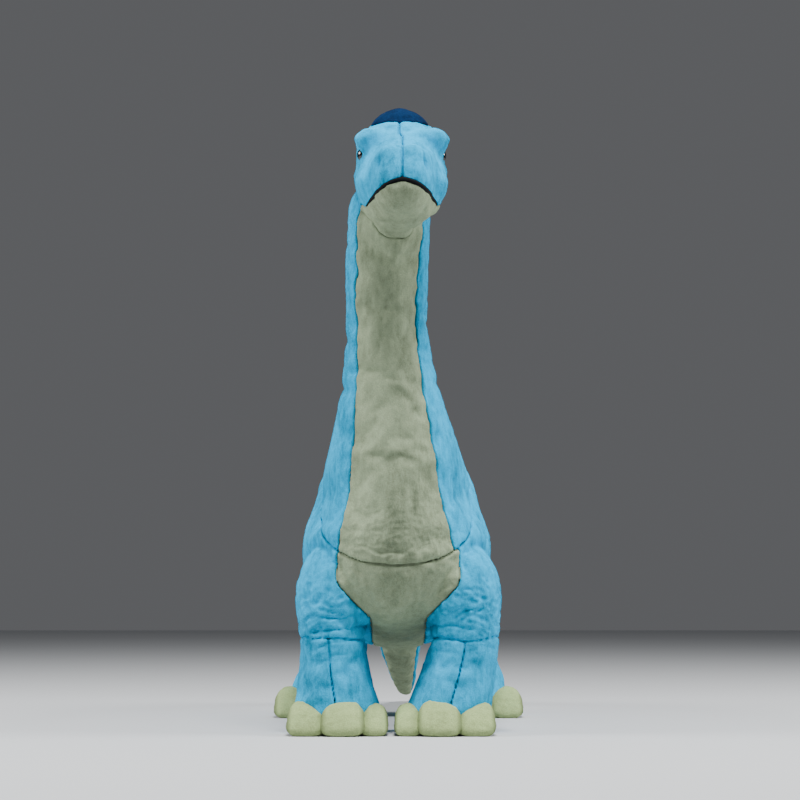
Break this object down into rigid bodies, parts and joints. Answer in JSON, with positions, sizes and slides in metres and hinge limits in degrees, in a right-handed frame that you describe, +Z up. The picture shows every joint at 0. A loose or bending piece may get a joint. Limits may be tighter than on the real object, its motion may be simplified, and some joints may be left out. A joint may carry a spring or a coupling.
{
  "type": "stuffed dinosaur",
  "caption": "Standing stuffed long-necked dinosaur toy of sewn plush panels over stuffing, with a bending neck, a nodding head, a swinging tail and legs that flex.",
  "frame": {"origin": "on the floor plane, below the middle of the toy's overall box", "axes": "+Z up, the toy faces -Y and its own left side is +X"},
  "size_m": [0.1658, 0.458, 0.3809],
  "materials": {
    "blue_plush": "short brushed pile",
    "grey_plush": "short brushed pile",
    "navy_plush": "short brushed pile, mottled",
    "cream_plush": "short brushed pile",
    "black_felt": "matte felt",
    "polyester_fibre": "loose fibre",
    "pellet_bag": "nonwoven bag of pellets",
    "eye_plastic": "moulded gloss",
    "washer_plastic": "moulded matte"
  },
  "bodies": {
    "torso": {"body_stuffing": "polyester_fibre", "body_left": "blue_plush", "body_right": "blue_plush", "back_stripe": "navy_plush", "belly_panel": "grey_plush"},
    "neck": {"neck_stuffing": "polyester_fibre", "neck_left": "blue_plush", "neck_right": "blue_plush", "neck_stripe": "navy_plush", "throat_panel": "grey_plush"},
    "head": {"head_stuffing": "polyester_fibre", "head_left": "blue_plush", "head_right": "blue_plush", "crown_panel": "navy_plush", "jaw_panel": "grey_plush", "mouth_strip": "black_felt", "eye_left": "eye_plastic", "eye_right": "eye_plastic", "eye_washer_left": "washer_plastic", "eye_washer_right": "washer_plastic"},
    "tail": {"tail_stuffing": "polyester_fibre", "tail_left": "blue_plush", "tail_right": "blue_plush", "tail_stripe": "navy_plush", "tail_under": "grey_plush"},
    "front_left_leg": {"front_left_leg_stuffing": "polyester_fibre", "front_left_leg_outer": "blue_plush", "front_left_leg_inner": "blue_plush", "front_left_pellets": "pellet_bag", "front_left_sole": "grey_plush", "front_left_toes": "cream_plush"},
    "front_right_leg": {"front_right_leg_stuffing": "polyester_fibre", "front_right_leg_outer": "blue_plush", "front_right_leg_inner": "blue_plush", "front_right_pellets": "pellet_bag", "front_right_sole": "grey_plush", "front_right_toes": "cream_plush"},
    "hind_left_leg": {"hind_left_leg_stuffing": "polyester_fibre", "hind_left_leg_outer": "blue_plush", "hind_left_leg_inner": "blue_plush", "hind_left_pellets": "pellet_bag", "hind_left_sole": "grey_plush", "hind_left_toes": "cream_plush"},
    "hind_right_leg": {"hind_right_leg_stuffing": "polyester_fibre", "hind_right_leg_outer": "blue_plush", "hind_right_leg_inner": "blue_plush", "hind_right_pellets": "pellet_bag", "hind_right_sole": "grey_plush", "hind_right_toes": "cream_plush"}
  },
  "joints": [
    {"name": "neck_bend", "type": "hinge", "parent": "torso", "child": "neck", "pos_m": [0, -0.136, 0.139], "axis": [1, 0, 0], "range_deg": [-10, 10], "stiffness_Nm_per_rad": 3, "deforming": ["neck_left", "neck_right", "neck_stripe", "throat_panel"]},
    {"name": "head_nod", "type": "hinge", "parent": "neck", "child": "head", "pos_m": [-0.0049, -0.16, 0.322], "axis": [1, 0, 0], "range_deg": [-12, 12], "stiffness_Nm_per_rad": 0.8, "deforming": ["neck_left", "neck_right", "neck_stripe", "throat_panel"]},
    {"name": "tail_swing", "type": "hinge", "parent": "torso", "child": "tail", "pos_m": [0, 0.1, 0.105], "axis": [0, 0.4695, 0.8829], "range_deg": [-14, 14], "stiffness_Nm_per_rad": 0.5, "deforming": ["tail_left", "tail_right", "tail_stripe", "tail_under"]},
    {"name": "front_left_leg_swing", "type": "hinge", "parent": "torso", "child": "front_left_leg", "pos_m": [0, -0.151, 0.074], "axis": [1, 0, 0], "range_deg": [-8, 8], "stiffness_Nm_per_rad": 4, "deforming": ["front_left_leg_outer", "front_left_leg_inner"]},
    {"name": "front_right_leg_swing", "type": "hinge", "parent": "torso", "child": "front_right_leg", "pos_m": [0, -0.151, 0.074], "axis": [1, 0, 0], "range_deg": [-8, 8], "stiffness_Nm_per_rad": 4, "deforming": ["front_right_leg_outer", "front_right_leg_inner"]},
    {"name": "hind_left_leg_swing", "type": "hinge", "parent": "torso", "child": "hind_left_leg", "pos_m": [0, 0.038, 0.074], "axis": [1, 0, 0], "range_deg": [-8, 8], "stiffness_Nm_per_rad": 4, "deforming": ["hind_left_leg_outer", "hind_left_leg_inner"]},
    {"name": "hind_right_leg_swing", "type": "hinge", "parent": "torso", "child": "hind_right_leg", "pos_m": [0, 0.038, 0.074], "axis": [1, 0, 0], "range_deg": [-8, 8], "stiffness_Nm_per_rad": 4, "deforming": ["hind_right_leg_outer", "hind_right_leg_inner"]}
  ]
}
